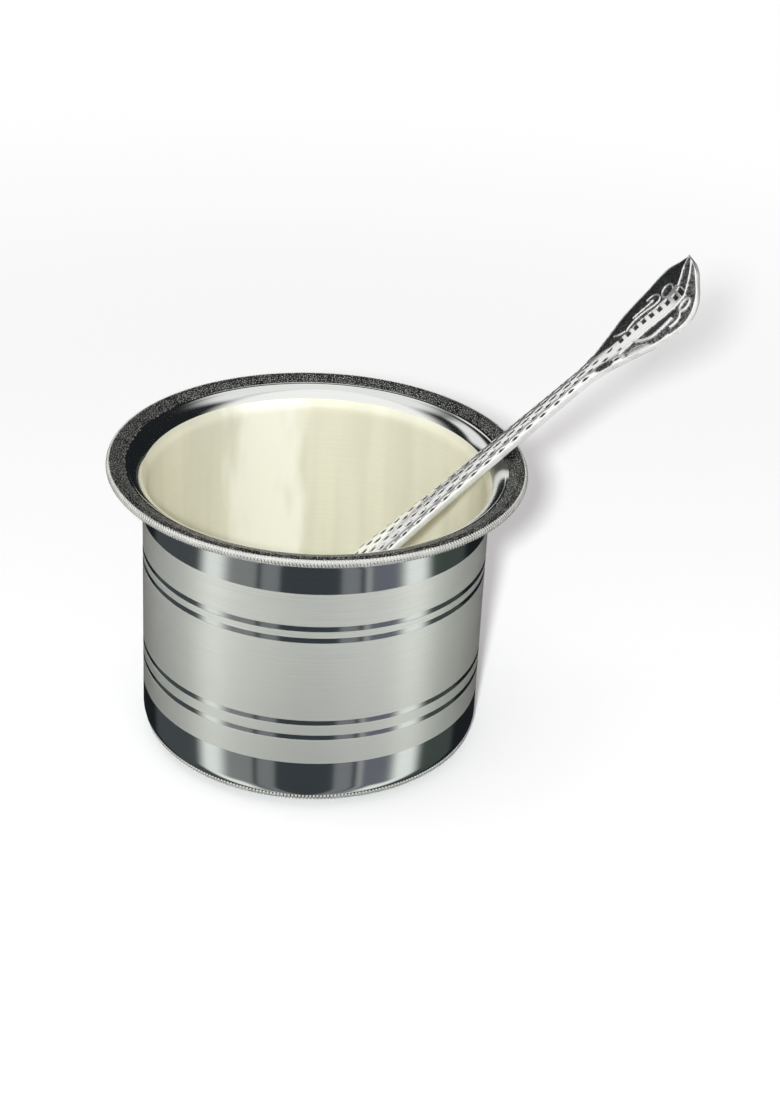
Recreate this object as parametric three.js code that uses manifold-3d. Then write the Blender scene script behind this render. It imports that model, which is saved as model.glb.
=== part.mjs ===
// A silver ghee pot with its snake-handled spoon, in millimetres, +Z up.
// The origin is the middle of the pot's flat base, so the pot stands on z = 0.
// The spoon stands in the pot as in use: its tip in the bottom corner, its handle on the mouth.
import * as THREE from "three";
import { ParametricGeometry } from "three/addons/geometries/ParametricGeometry.js";
import { mergeVertices } from "three/addons/utils/BufferGeometryUtils.js";
import Module from "manifold-3d";

const wasm = await Module();
wasm.setup();

// Driving dimensions of the pot
const BODY_R = 26.5; // outside of the straight wall
const SHEET = 0.6; // thickness of the drawn sheet
const HEEL_R = 3; // outside radius of the rounded heel
const BASE_STEP = 0.6; // how far the flat base is pressed down inside the foot ring
const MOUTH_Z = 41.25; // height where the wall starts to flare
const FLARE_R = 4; // inside radius of the flare
const LIP_SLOPE = THREE.MathUtils.degToRad(22); // rise of the lip outside the flare
const LIP_RUN = 2.6; // length of the lip's straight stretch

// The lip is rolled round a wire
const WIRE_R = 0.35;
const WIRE_CLEARANCE = 0.1;
const ROLL_SKIN = 0.4;
const ROLL_OPENING = THREE.MathUtils.degToRad(95); // left between the curled edge and the lip

// Milled ring soldered under the heel
const FOOT_WIDTH = 1.6;
const FOOT_INSET = 0.1; // from the start of the heel in to the ring's outside
const FOOT_CHANNEL = 2.3; // left between the ring and the pressed base

// The spoon, measured along its handle from the tip of its bowl
const SPOON_LENGTH = 109;
const BOWL_LENGTH = 27;
const BOWL_WIDTH = 18;
const BOWL_DEPTH = 5;
const BOWL_SKIN = 0.8;

// Its handle is one strip, lapped under the bowl at one end and spread into a hood at the other
const STRIP = 1.4; // thickness
const STRIP_CROWN = 0.35; // rise of the middle above the edges
const LAP_LENGTH = 6;
const LAP_CLEARANCE = 0.15;
const LAP_HALF = 3.2; // half of the strip's width at its lapped end
const SHOULDER_LENGTH = 3; // from the bowl to the widest place of the stem
const SHOULDER_HALF = 4;
const STEM_HALF = 2.7; // where the stem lies on the mouth
const NECK_LENGTH = 6; // from the narrowest place to the start of the hood
const NECK_HALF = 2;
const HOOD_LENGTH = 23;
const HOOD_ROOT_HALF = 2.25;
const HOOD_HALF = 7.4;
const HOOD_CROWN = 1.0;
const CURL_LENGTH = 10; // the last stretch, which curls up
const CURL_RISE = 3.7;

// The hood's outline, as shares of its length and of its half width
const HOOD_SHAPE = [
  [0.22, 0.57],
  [0.41, 0.84],
  [0.65, 1],
  [0.8, 0.88],
  [0.91, 0.46],
  [1, 0.05],
];

// How the spoon stands in the pot
const SPOON_TURN = THREE.MathUtils.degToRad(15.9); // about the pot's axis
const SPOON_ASIDE = 2.4; // how far its middle line passes in front of that axis
const TIP_INSET = 0.5; // from the start of the heel in to its tip, along the line
const REST_CLEARANCE = 0.3;

// Facets
const ROUND_SEGMENTS = 64;
const ARC_STEPS = 5;
const WIRE_SEGMENTS = 7;
const BOWL_SEGMENTS = 32;
const BOWL_STEPS = 7;
const HANDLE_SIDES = 16;
const HANDLE_STEPS = 40;
const WELD = 1e-4; // points closer than this are one
const LEAN_ROUNDS = 40;

const innerR = BODY_R - SHEET;
const heelCentre = new THREE.Vector2(BODY_R - HEEL_R, BASE_STEP + HEEL_R);
const footOuter = heelCentre.x - FOOT_INSET;
const footInner = footOuter - FOOT_WIDTH;
const baseR = footInner - FOOT_CHANNEL;
const tipReach = heelCentre.x - TIP_INSET;
const flareCentre = new THREE.Vector2(innerR + FLARE_R, MOUTH_Z);
const rollHoleR = WIRE_R + WIRE_CLEARANCE;
const rollR = rollHoleR + ROLL_SKIN;
const cutTop = 2 * STRIP; // the tool that scoops the lap stands this far above the bowl's rim
const shoulderAt = BOWL_LENGTH + SHOULDER_LENGTH;
const hoodStart = SPOON_LENGTH - HOOD_LENGTH;
const neckAt = hoodStart - NECK_LENGTH;
const curlStart = SPOON_LENGTH - CURL_LENGTH;

const silver = {
  satin: new THREE.MeshStandardMaterial({ color: 0xc9cdc6, roughness: 0.42, metalness: 1 }),
  bright: new THREE.MeshStandardMaterial({ color: 0xd9dbd8, roughness: 0.12, metalness: 1 }),
  struck: new THREE.MeshStandardMaterial({ color: 0xe2e3e0, roughness: 0.2, metalness: 1 }),
};

// Points along an arc about a centre, from one angle to another.
function arc(centre, radius, from, to, steps = ARC_STEPS) {
  return Array.from({ length: steps + 1 }, (_, i) => {
    const angle = from + ((to - from) * i) / steps;
    return new THREE.Vector2(centre.x + radius * Math.cos(angle), centre.y + radius * Math.sin(angle));
  });
}

// A profile of (radius, height) points turned about Z.
function turned(profile, segments = ROUND_SEGMENTS) {
  return new THREE.LatheGeometry(profile, segments).rotateX(Math.PI / 2);
}

// The centre of the rolled edge, at the end of the sloping lip.
function rollCentre() {
  const foot = new THREE.Vector2(-Math.sin(LIP_SLOPE), Math.cos(LIP_SLOPE));
  const along = new THREE.Vector2(Math.cos(LIP_SLOPE), Math.sin(LIP_SLOPE));
  const lipStart = flareCentre.clone().addScaledVector(foot, FLARE_R);
  const top = lipStart.addScaledVector(along, LIP_RUN);
  return top.addScaledVector(foot, -rollR);
}

// Drawn cup: flat base, riser, heel, straight wall, flared mouth and rolled lip, all one sheet.
function potShell() {
  const roll = rollCentre();
  const up = Math.PI / 2 + LIP_SLOPE;
  const rollEnd = up - 2 * Math.PI + ROLL_OPENING;
  const outside = [
    new THREE.Vector2(0, 0),
    new THREE.Vector2(baseR, 0),
    new THREE.Vector2(baseR, BASE_STEP),
    ...arc(heelCentre, HEEL_R, -Math.PI / 2, 0),
    ...arc(flareCentre, FLARE_R - SHEET, Math.PI, up),
  ];
  const lipUnder = roll.clone().addScaledVector(
    new THREE.Vector2(-Math.cos(LIP_SLOPE), -Math.sin(LIP_SLOPE)),
    rollR + SHEET,
  );
  const lipDrop = new THREE.Vector2(-Math.sin(LIP_SLOPE), Math.cos(LIP_SLOPE));
  lipUnder.addScaledVector(lipDrop, rollR - SHEET);
  const curl = [
    lipUnder,
    ...arc(roll, rollHoleR, up, rollEnd, 2 * ARC_STEPS),
    ...arc(roll, rollR, rollEnd, up, 2 * ARC_STEPS),
  ];
  const inside = [
    ...arc(flareCentre, FLARE_R, up, Math.PI),
    ...arc(heelCentre, HEEL_R - SHEET, 0, -Math.PI / 2),
    new THREE.Vector2(baseR - SHEET, BASE_STEP + SHEET),
    new THREE.Vector2(baseR - SHEET, SHEET),
    new THREE.Vector2(0, SHEET),
  ];
  return turned([...outside, ...curl, ...inside]);
}

// Stiffening wire inside the rolled lip.
function rimWire() {
  const ring = arc(rollCentre(), WIRE_R, 0, 2 * Math.PI, WIRE_SEGMENTS);
  return turned(ring);
}

// Ring between the flat of the heel and the table.
function footRing() {
  const bevel = BASE_STEP / 4;
  return turned([
    new THREE.Vector2(footInner, 0),
    new THREE.Vector2(footOuter - bevel, 0),
    new THREE.Vector2(footOuter, bevel),
    new THREE.Vector2(footOuter, BASE_STEP),
    new THREE.Vector2(footInner, BASE_STEP),
    new THREE.Vector2(footInner, 0),
  ]);
}

// Oval dish with its rim in the plane z = 0 and its tip at x = 0. Grown, it is the tool that scoops the lap.
function bowlDish(grow = 0) {
  const halfWidth = BOWL_WIDTH / 2;
  const quarter = (radius, depth, fromRim) =>
    Array.from({ length: BOWL_STEPS + 1 }, (_, i) => {
      const share = fromRim ? 1 - i / BOWL_STEPS : i / BOWL_STEPS;
      const angle = (share * Math.PI) / 2;
      return new THREE.Vector2(radius * Math.sin(angle), -depth * Math.cos(angle));
    });
  const outside = quarter(halfWidth + grow, BOWL_DEPTH + grow, false);
  const inside = quarter(halfWidth - BOWL_SKIN, BOWL_DEPTH - BOWL_SKIN, true);
  const tool = [...outside, new THREE.Vector2(halfWidth + grow, cutTop), new THREE.Vector2(0, cutTop)];
  const profile = grow ? tool : [...outside, ...inside];
  const stretch = (BOWL_LENGTH / 2 + grow) / (halfWidth + grow);
  return turned(profile, BOWL_SEGMENTS).scale(stretch, 1, 1).translate(BOWL_LENGTH / 2, 0, 0);
}

// Half the handle's width at a distance from the spoon's tip.
const outline = new THREE.SplineCurve(
  [
    [BOWL_LENGTH - LAP_LENGTH, LAP_HALF],
    [shoulderAt, SHOULDER_HALF],
    [(shoulderAt + neckAt) / 2, STEM_HALF],
    [neckAt, NECK_HALF],
    [hoodStart, HOOD_ROOT_HALF],
    ...HOOD_SHAPE.map(([length, width]) => [hoodStart + HOOD_LENGTH * length, HOOD_HALF * width]),
  ].map(([along, half]) => new THREE.Vector2(along, half)),
);

function hoodShare(along) {
  return THREE.MathUtils.smoothstep(along, hoodStart, curlStart);
}

function curlAt(along) {
  const share = Math.max(0, along - curlStart) / CURL_LENGTH;
  return CURL_RISE * share * share;
}

// Rounded strip, crowned across, that spreads into the hood and curls up at its tip.
function handleSurface(u, v, target) {
  const ring = Math.round(v * HANDLE_STEPS);
  const end = ring === 0 || ring === HANDLE_STEPS;
  const share = THREE.MathUtils.clamp((ring - 1) / (HANDLE_STEPS - 2), 0, 1);
  const at = outline.getPoint(share);
  const angle = 2 * Math.PI * u;
  const square = (x) => Math.sign(x) * Math.sqrt(Math.abs(x));
  const across = end ? 0 : at.y * square(Math.cos(angle));
  const thick = end ? 0 : (STRIP / 2) * square(Math.sin(angle));
  const crown = THREE.MathUtils.lerp(STRIP_CROWN, HOOD_CROWN, hoodShare(at.x));
  const camber = crown * (1 - (across / at.y) ** 2) - crown;
  target.set(at.x, across, thick + camber + crown + curlAt(at.x));
}

function solid(geometry) {
  const bare = geometry.index ? geometry.toNonIndexed() : geometry.clone();
  bare.deleteAttribute("normal");
  bare.deleteAttribute("uv");
  const merged = mergeVertices(bare, WELD);
  return new wasm.Manifold(
    new wasm.Mesh({
      numProp: 3,
      vertProperties: merged.attributes.position.array,
      triVerts: new Uint32Array(merged.index.array),
    }),
  );
}

function geometryOf(manifold) {
  const mesh = manifold.getMesh();
  const geometry = new THREE.BufferGeometry();
  geometry.setAttribute("position", new THREE.BufferAttribute(mesh.vertProperties, 3));
  geometry.setIndex(new THREE.BufferAttribute(mesh.triVerts, 1));
  geometry.computeVertexNormals();
  return geometry;
}

// The handle's tail is scooped to the bowl's back, where it is soldered.
function spoonHandle() {
  const strip = solid(new ParametricGeometry(handleSurface, HANDLE_SIDES, HANDLE_STEPS));
  return geometryOf(strip.subtract(solid(bowlDish(LAP_CLEARANCE))));
}

// Lean of the spoon that seats its bowl on the pot's floor and the outer edge of its stem on the flare.
function leanedSpoon() {
  const flareReach = Math.sqrt(flareCentre.x ** 2 - (SPOON_ASIDE + STEM_HALF) ** 2);
  const floor = BASE_STEP + SHEET + REST_CLEARANCE;
  const halfLength = BOWL_LENGTH / 2;
  const tipHeight = (lean) =>
    floor + Math.hypot(halfLength * Math.sin(lean), BOWL_DEPTH * Math.cos(lean)) - halfLength * Math.sin(lean);
  const miss = (lean) => {
    const rise = (flareCentre.y - tipHeight(lean)) * Math.cos(lean);
    const run = (flareReach + tipReach) * Math.sin(lean);
    return rise - run + STRIP / 2 + FLARE_R + REST_CLEARANCE;
  };
  let low = 0;
  let high = Math.PI / 2;
  for (let i = 0; i < LEAN_ROUNDS; i += 1) {
    const middle = (low + high) / 2;
    if (miss(middle) > 0) low = middle;
    else high = middle;
  }
  return { lean: low, tipZ: tipHeight(low) };
}

function named(name, geometry, material) {
  const mesh = new THREE.Mesh(geometry, material);
  mesh.name = name;
  return mesh;
}

const pot = new THREE.Group();
pot.add(named("pot_shell", potShell(), silver.satin));
pot.add(named("rim_wire", rimWire(), silver.bright));
pot.add(named("foot_ring", footRing(), silver.bright));

const seat = leanedSpoon();
const spoon = new THREE.Group();
spoon.add(named("spoon_bowl", bowlDish(), silver.bright));
spoon.add(named("spoon_handle", spoonHandle(), silver.struck));
spoon.position.set(-tipReach, -SPOON_ASIDE, seat.tipZ);
spoon.rotation.y = -seat.lean;

const turnedSpoon = new THREE.Group();
turnedSpoon.rotation.z = SPOON_TURN;
turnedSpoon.add(spoon);

const gheePot = new THREE.Group();
gheePot.add(pot, turnedSpoon);

export default gheePot;
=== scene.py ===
"""A silver ghee pot with a snake-handled spoon standing in it, dressed for a studio picture.

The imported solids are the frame. Each class holds the sizes of one sub-assembly in millimetres, as
they were drawn, and builds its pieces in the frame's metres: the pot's shell with its turned lines
and knurled rim, the milled foot, the spoon's dish and its struck handle, and the studio.
"""

import logging
import math
from collections.abc import Callable
from dataclasses import dataclass, field
from enum import Enum
from functools import cache

import bpy
import numpy as np
from mathutils import Matrix, Vector


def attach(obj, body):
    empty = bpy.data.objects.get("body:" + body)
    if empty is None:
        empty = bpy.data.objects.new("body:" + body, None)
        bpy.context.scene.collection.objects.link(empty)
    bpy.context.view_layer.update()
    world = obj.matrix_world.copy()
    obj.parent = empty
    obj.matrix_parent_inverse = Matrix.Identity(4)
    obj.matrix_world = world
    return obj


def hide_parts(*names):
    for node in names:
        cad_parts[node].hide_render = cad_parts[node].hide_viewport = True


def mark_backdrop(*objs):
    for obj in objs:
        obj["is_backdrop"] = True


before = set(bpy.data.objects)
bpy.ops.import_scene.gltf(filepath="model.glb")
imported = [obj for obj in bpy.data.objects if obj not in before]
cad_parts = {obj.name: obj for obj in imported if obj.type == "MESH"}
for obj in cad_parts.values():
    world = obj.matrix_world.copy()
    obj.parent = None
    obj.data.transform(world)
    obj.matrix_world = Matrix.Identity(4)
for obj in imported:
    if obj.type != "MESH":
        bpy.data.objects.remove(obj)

MM = 0.001
LOG = logging.getLogger("ghee_pot")

Point = tuple[float, float]
Triple = tuple[float, float, float]
Colour = tuple[float, float, float]
Faces = list[tuple[int, ...]]
Grid = np.ndarray
Material = bpy.types.Material
Piece = bpy.types.Object
Socket = bpy.types.NodeSocket


class Tree:
    """A node tree that is filled one node at a time."""

    def __init__(self, nodes: bpy.types.NodeTree) -> None:
        """Takes the tree and empties it."""
        self.tree = nodes
        self.tree.nodes.clear()

    def node(
        self, kind: str, sockets: dict | None = None, out: str | int | None = 0, **settings: object
    ) -> Socket | bpy.types.bpy_prop_collection:
        """Adds one node.

        Args:
            kind: The node's type, such as "ShaderNodeMath".
            sockets: Values or links for its inputs, by name or by place.
            out: The output to return, by name or by place.
            settings: Its properties.

        Returns:
            That output, or all of them where out is None.
        """
        made = self.tree.nodes.new(kind)
        for name, value in settings.items():
            setattr(made, name, value)
        for name, value in (sockets or {}).items():
            self.feed(made.inputs[name], value)
        return made.outputs if out is None else made.outputs[out]

    def feed(self, socket: Socket, value: object) -> None:
        """Fills one input of a node.

        Args:
            socket: The input.
            value: What to link to it, or the number, colour or material that it holds.
        """
        if isinstance(value, Value):
            value = value.socket
        if isinstance(value, Socket):
            self.tree.links.new(value, socket)
        else:
            socket.default_value = value

    def close(self, kind: str, last: Socket) -> None:
        """Ends the tree with an output node of that kind."""
        self.node(kind, {0: last}, None)


class Recipe(Tree):
    """The shader of one finish."""

    def __init__(self, name: str) -> None:
        """Makes an empty material of that name."""
        self.material = bpy.data.materials.new(name)
        self.material.use_nodes = True
        super().__init__(self.material.node_tree)

    def math(self, operation: str, *terms: "Value | float") -> "Value":
        """Adds a Math node on these terms."""
        return Value(self, self.node("ShaderNodeMath", dict(enumerate(terms)), operation=operation))

    def place(self) -> tuple["Value", "Value", "Value"]:
        """The surface point's own coordinates in millimetres."""
        parts = self.node("ShaderNodeSeparateXYZ", {0: self.node("ShaderNodeTexCoord", out="Object")}, None)
        return tuple(Value(self, part) / MM for part in parts)

    def attribute(self, name: str) -> "Value":
        """A number that the mesh holds at each point."""
        return Value(self, self.node("ShaderNodeAttribute", out="Fac", attribute_name=name))

    def noise(self, places: tuple["Value", ...], size: float, detail: float = 2.0) -> "Value":
        """Noise between 0 and 1.

        Args:
            places: One coordinate or three, in millimetres.
            size: The width of its blotches in millimetres.
            detail: How many finer layers it has.

        Returns:
            The noise.
        """
        sockets: dict = {"Scale": 1 / size, "Detail": detail}
        dimensions = f"{len(places)}D"
        if dimensions == "1D":
            sockets["W"] = places[0]
        else:
            sockets["Vector"] = self.node("ShaderNodeCombineXYZ", dict(enumerate(places)))
        return Value(self, self.node("ShaderNodeTexNoise", sockets, "Fac", noise_dimensions=dimensions))

    def mix(self, factor: "Value", low: Colour | Socket, high: Colour | Socket) -> Socket:
        """Mixes two colours.

        Args:
            factor: The second one's share.
            low: The first, as a triple or a socket.
            high: The second.

        Returns:
            The mixture.
        """
        ends = [end if isinstance(end, Socket) else (*end, 1.0) for end in (low, high)]
        return self.node("ShaderNodeMix", {"Factor": factor, 6: ends[0], 7: ends[1]}, 2, data_type="RGBA")

    def bump(self, height: "Value", depth: float) -> Socket:
        """A normal for a height between 0 and 1, which is that many millimetres deep."""
        return self.node("ShaderNodeBump", {"Distance": depth * MM, "Height": height}, "Normal")

    def metal(self, colour: Socket, metallic: float, roughness: "Value | float", **more: object) -> Material:
        """Ends the recipe with a Principled shader.

        Args:
            colour: Its base colour.
            metallic: How metallic it is.
            roughness: How rough it is.
            more: Values or links for other inputs, where the input's name is one word.

        Returns:
            The finished material.
        """
        sockets = {"Base Color": colour, "Metallic": metallic, "Roughness": roughness} | more
        return self.surface(self.node("ShaderNodeBsdfPrincipled", sockets))

    def surface(self, shader: Socket) -> Material:
        """Ends the recipe with this shader and hands out the material."""
        self.close("ShaderNodeOutputMaterial", shader)
        return self.material


def operator_for(operation: str, swapped: bool = False) -> "Callable[[Value, Value | float], Value]":
    """Makes the method for one of Python's operators.

    Args:
        operation: The Math node's operation.
        swapped: Whether the other term comes first.

    Returns:
        The method, which adds the node on a value and another term.
    """

    def joined(self: "Value", other: "Value | float") -> "Value":
        """What the operation makes of the two."""
        return self.recipe.math(operation, *((other, self) if swapped else (self, other)))

    return joined


class Value:
    """A number that varies over a surface. Python's operators on it add Math nodes."""

    __add__ = operator_for("ADD")
    __radd__ = operator_for("ADD", swapped=True)
    __sub__ = operator_for("SUBTRACT")
    __rsub__ = operator_for("SUBTRACT", swapped=True)
    __mul__ = operator_for("MULTIPLY")
    __rmul__ = operator_for("MULTIPLY", swapped=True)
    __truediv__ = operator_for("DIVIDE")
    __rtruediv__ = operator_for("DIVIDE", swapped=True)
    __pow__ = operator_for("POWER")

    def __init__(self, recipe: Recipe, socket: Socket) -> None:
        """Wraps an output socket of the recipe's tree."""
        self.recipe = recipe
        self.socket = socket

    def smooth(self, low: float, high: float) -> "Value":
        """Rises softly from 0 at low to 1 at high."""
        sockets = {"Value": self, "From Min": low, "From Max": high}
        made = self.recipe.node("ShaderNodeMapRange", sockets, "Result", interpolation_type="SMOOTHSTEP")
        return Value(self.recipe, made)


def radius_of(x: Value, y: Value) -> Value:
    """The distance from the pot's axis."""
    return (x * x + y * y) ** 0.5


def dimmed(colour: Colour, loss: float) -> Colour:
    """A colour that has lost this share of its light."""
    return tuple(part * (1 - loss) for part in colour)


@dataclass(frozen=True)
class SpunSilver:
    """Silver finished on the lathe, with fine lines round its axis.

    It may be drawn in upright streaks, darken towards the pot's foot as a painted shade, and carry a painted
    highlight down one side of its wall.
    A rate says how fast a pattern changes along a direction, and a contrast holds the two values of a
    pattern between which the tint changes.
    """

    name: str
    colour: Colour
    metallic: float
    roughness: float
    anisotropic: float
    line_pitch: float
    line_depth: float
    line_tone: float
    drawn: float = 0.0
    # fade: a painted shade, the share of light taken off towards the pot's foot.
    fade: float = 0.0
    # A painted highlight: a pale band down one side of the wall.
    painted_highlight: bool = False
    line_share: float = 0.65
    line_contrast: Point = (0.3, 0.7)
    scratch_rates: Point = (0.12, 2.2)
    wall_radii: Point = (20.0, 25.0)
    streak_size: float = 0.22
    streak_rate: float = 0.004
    streak_share: float = 0.7
    streak_contrast: Point = (0.35, 0.62)
    # Where the painted shade starts and ends, in millimetres of height.
    painted_shade_heights: Point = (5.0, 36.0)
    # The painted highlight's colour, the side that it faces, its contrast and its ragged edge.
    painted_highlight_colour: Colour = (1.0, 0.99, 0.88)
    painted_highlight_side: Point = (-0.37, 0.93)
    painted_highlight_contrast: Point = (0.955, 0.995)
    ragged_size: float = 0.12
    ragged_rate: float = 0.01
    ragged_share: float = 0.06

    def build(self) -> Material:
        """Makes the material. Its lines follow height and radius, so they run round every part."""
        recipe = Recipe(self.name)
        x, y, z = recipe.place()
        outward = radius_of(x, y)
        lines = recipe.noise((z + outward,), self.line_pitch, 3.0)
        level, upright = self.scratch_rates
        scratches = recipe.noise((x * level, y * level, z * upright), 1.0, 3.0)
        grain = lines * self.line_share + scratches * (1 - self.line_share)
        shade = dimmed(self.colour, self.line_tone)
        tint = recipe.mix(grain.smooth(*self.line_contrast), shade, self.colour)
        wall = outward.smooth(*self.wall_radii)
        east, north = x / outward, y / outward
        if self.drawn:
            streaks = recipe.noise((east, north, z * self.streak_rate), self.streak_size)
            pale = recipe.mix(wall * self.streak_share, tint, dimmed(self.colour, self.drawn))
            tint = recipe.mix(streaks.smooth(*self.streak_contrast), pale, tint)
        # Painted shade: the tint darkens towards the pot's foot.
        if self.fade:
            tint = recipe.mix(z.smooth(*self.painted_shade_heights), dimmed(self.colour, self.fade), tint)
        # Painted highlight: the wall turns pale on the side that faces one way, with a ragged edge.
        if self.painted_highlight:
            facing = east * self.painted_highlight_side[0] + north * self.painted_highlight_side[1]
            ragged = recipe.noise((east, north, z * self.ragged_rate), self.ragged_size) - 0.5
            painted_highlight_share = (facing + ragged * self.ragged_share).smooth(*self.painted_highlight_contrast)
            tint = recipe.mix(painted_highlight_share * wall, tint, self.painted_highlight_colour)
        bump = recipe.bump(grain, self.line_depth)
        return recipe.metal(tint, self.metallic, self.roughness, Anisotropic=self.anisotropic, Normal=bump)


@dataclass(frozen=True)
class StippledSilver:
    """Silver dulled by rows of fine punch marks, dark in the hollows and bright on top from wear."""

    name: str
    bright: Colour
    dark: Colour
    roughness: float
    grain: float
    depth: float
    contrast: Point = (0.38, 0.66)
    patch_grains: float = 9.0
    patch_contrast: Point = (0.25, 0.7)

    def build(self) -> Material:
        """Makes the material."""
        recipe = Recipe(self.name)
        place = recipe.place()
        height = recipe.noise(place, self.grain).smooth(*self.contrast)
        patches = recipe.noise(place, self.grain * self.patch_grains).smooth(*self.patch_contrast)
        tint = recipe.mix(height * patches, self.dark, self.bright)
        return recipe.metal(tint, 1.0, self.roughness, Normal=recipe.bump(height, self.depth))


@dataclass(frozen=True)
class StruckSilver:
    """Bright struck silver, dark in its recesses and in a painted shade where the hood starts. The mesh says
    where they are.
    """

    name: str
    bright: Colour
    dark: Colour
    roughness: float
    dark_roughness: float
    metallic: float
    recess_and_painted_shade: str = "recess_and_painted_shade"
    speckle_size: float = 0.35
    speckle_share: float = 1.5
    speckle_depth: float = 0.03
    wear_size: float = 2.5
    wear_share: float = 0.05
    contrast: Point = (0.05, 0.80)

    def build(self) -> Material:
        """Makes the material."""
        recipe = Recipe(self.name)
        place = recipe.place()
        speckle = recipe.noise(place, self.speckle_size)
        wear = (recipe.noise(place, self.wear_size) - 0.5) * self.wear_share
        # The mesh's darkness covers the recesses and a painted shade where the hood starts.
        depth = recipe.attribute(self.recess_and_painted_shade)
        mask = (depth + (speckle - 0.5) * depth * self.speckle_share).smooth(*self.contrast)
        rough = mask * (self.dark_roughness - self.roughness) + self.roughness + wear
        tint = recipe.mix(mask, self.bright, self.dark)
        bump = recipe.bump(speckle * depth, self.speckle_depth)
        return recipe.metal(tint, self.metallic, rough, Normal=bump)


@dataclass(frozen=True)
class PlainMetal:
    """A metal with faint stains, for what is hardly seen."""

    name: str
    colour: Colour
    roughness: float
    metallic: float = 1.0
    stain_size: float = 3.0
    stain_tone: float = 0.15
    stain_roughness: float = 0.15
    contrast: Point = (0.35, 0.7)

    def build(self) -> Material:
        """Makes the material."""
        recipe = Recipe(self.name)
        stain = recipe.noise(recipe.place(), self.stain_size, 3.0)
        tint = recipe.mix(stain.smooth(*self.contrast), dimmed(self.colour, self.stain_tone), self.colour)
        return recipe.metal(tint, self.metallic, stain * self.stain_roughness + self.roughness)


class Finish(Enum):
    """The finishes of the pot and its spoon."""

    # The satin darkens towards the foot: a painted shade.
    SATIN = SpunSilver("satin_silver", (0.98, 0.985, 0.915), 0.72, 0.32, 0.6, 0.16, 0.006, 0.10, fade=0.20)
    POLISH = SpunSilver("polished_silver", (0.87, 0.88, 0.87), 1.0, 0.12, 0.0, 0.5, 0.0004, 0.03)
    # The white inside carries a painted highlight down one side of its wall.
    CREAM = SpunSilver(
        "whitened_silver", (0.87, 0.85, 0.70), 0.30, 0.38, 0.6, 0.3, 0.004, 0.04, drawn=0.16, painted_highlight=True
    )
    LIP = StippledSilver("stippled_silver", (0.34, 0.34, 0.33), (0.03, 0.03, 0.03), 0.30, 0.24, 0.08)
    KNURL = PlainMetal("knurled_silver", (0.90, 0.89, 0.85), 0.20, 0.75)
    STRUCK = StruckSilver("struck_silver", (0.94, 0.94, 0.93), (0.055, 0.058, 0.06), 0.18, 0.36, 0.8)
    GRAIN = PlainMetal("worn_grains", (0.66, 0.66, 0.64), 0.22)
    FILED = PlainMetal("filed_silver", (0.80, 0.80, 0.78), 0.35, 0.4)
    DISH = SpunSilver("dish_silver", (0.90, 0.90, 0.87), 0.9, 0.2, 0.0, 0.6, 0.002, 0.04)
    WIRE = PlainMetal("wire_brass", (0.62, 0.46, 0.22), 0.35)

    @cache
    def material(self) -> Material:
        """The finish's material, made once."""
        return self.value.build()


def dress(piece: Piece, *finishes: Finish) -> None:
    """Gives a piece its finishes.

    Args:
        piece: The piece. If it has slots already, the first finish goes into each.
        finishes: Its finishes, in the order of its faces' zones.
    """
    for slot in piece.material_slots:
        slot.material = finishes[0].material()
    if not piece.material_slots:
        for finish in finishes:
            piece.data.materials.append(finish.material())


def placed(name: str, data: bpy.types.ID) -> Piece:
    """Makes an object of this data and puts it into the scene."""
    made = bpy.data.objects.new(name, data)
    bpy.context.scene.collection.objects.link(made)
    return made


@dataclass
class Shape:
    """Points in millimetres, with faces and the zone of each face."""

    points: np.ndarray
    faces: Faces
    zones: list[int] = field(default_factory=list)

    def piece(self, name: str, crease: float = 35.0) -> Piece:
        """Makes a smooth object of it, in metres.

        Args:
            name: The piece's name.
            crease: Edges that turn more degrees than this stay sharp.

        Returns:
            The object, at the origin.
        """
        mesh = bpy.data.meshes.new(name)
        mesh.from_pydata((self.points * MM).tolist(), [], self.faces)
        if self.zones:
            mesh.polygons.foreach_set("material_index", self.zones)
        mesh.shade_smooth()
        mesh.set_sharp_from_angle(angle=math.radians(crease))
        mesh.update()
        return placed(name, mesh)


def arc(centre: Point, radius: float, start: float, end: float, steps: int) -> list[Point]:
    """Points along an arc.

    Args:
        centre: Its centre.
        radius: Its radius.
        start: Its first angle in degrees.
        end: Its last angle.
        steps: How many stretches it has.

    Returns:
        The points, from the first angle to the last.
    """
    angles = np.radians(np.linspace(start, end, steps + 1))
    return [(centre[0] + radius * math.cos(a), centre[1] + radius * math.sin(a)) for a in angles]


def turned(profile: list[Point], segments: int, zones: list[int] | None = None) -> Shape:
    """Turns a profile about the Z axis.

    Args:
        profile: Radius and height of each point, outside first, so that the faces point outwards. It
            starts and ends on the axis, or closes on itself.
        segments: How many steps make the turn.
        zones: The zone of each stretch of the profile.

    Returns:
        The closed shape.
    """
    angles = np.linspace(0, 2 * np.pi, segments, endpoint=False)
    points: list[np.ndarray] = []
    rings: list[list[int]] = []
    closed = profile[0][0] > 0
    for radius, height in profile:
        count = segments if radius > 0 else 1
        first = len(points)
        points += [np.array((radius * math.cos(a), radius * math.sin(a), height)) for a in angles[:count]]
        rings.append([first + i % count for i in range(segments + 1)])
    faces: list[tuple[int, ...]] = []
    places: list[int] = []
    if closed:
        rings.append(rings[0])
    for index, (low, high) in enumerate(zip(rings, rings[1:])):
        for i in range(segments):
            corners = (low[i], low[i + 1], high[i + 1], high[i])
            faces.append(tuple(dict.fromkeys(corners)))
            places.append(zones[index] if zones else 0)
    return Shape(np.array(points), faces, places)


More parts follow.
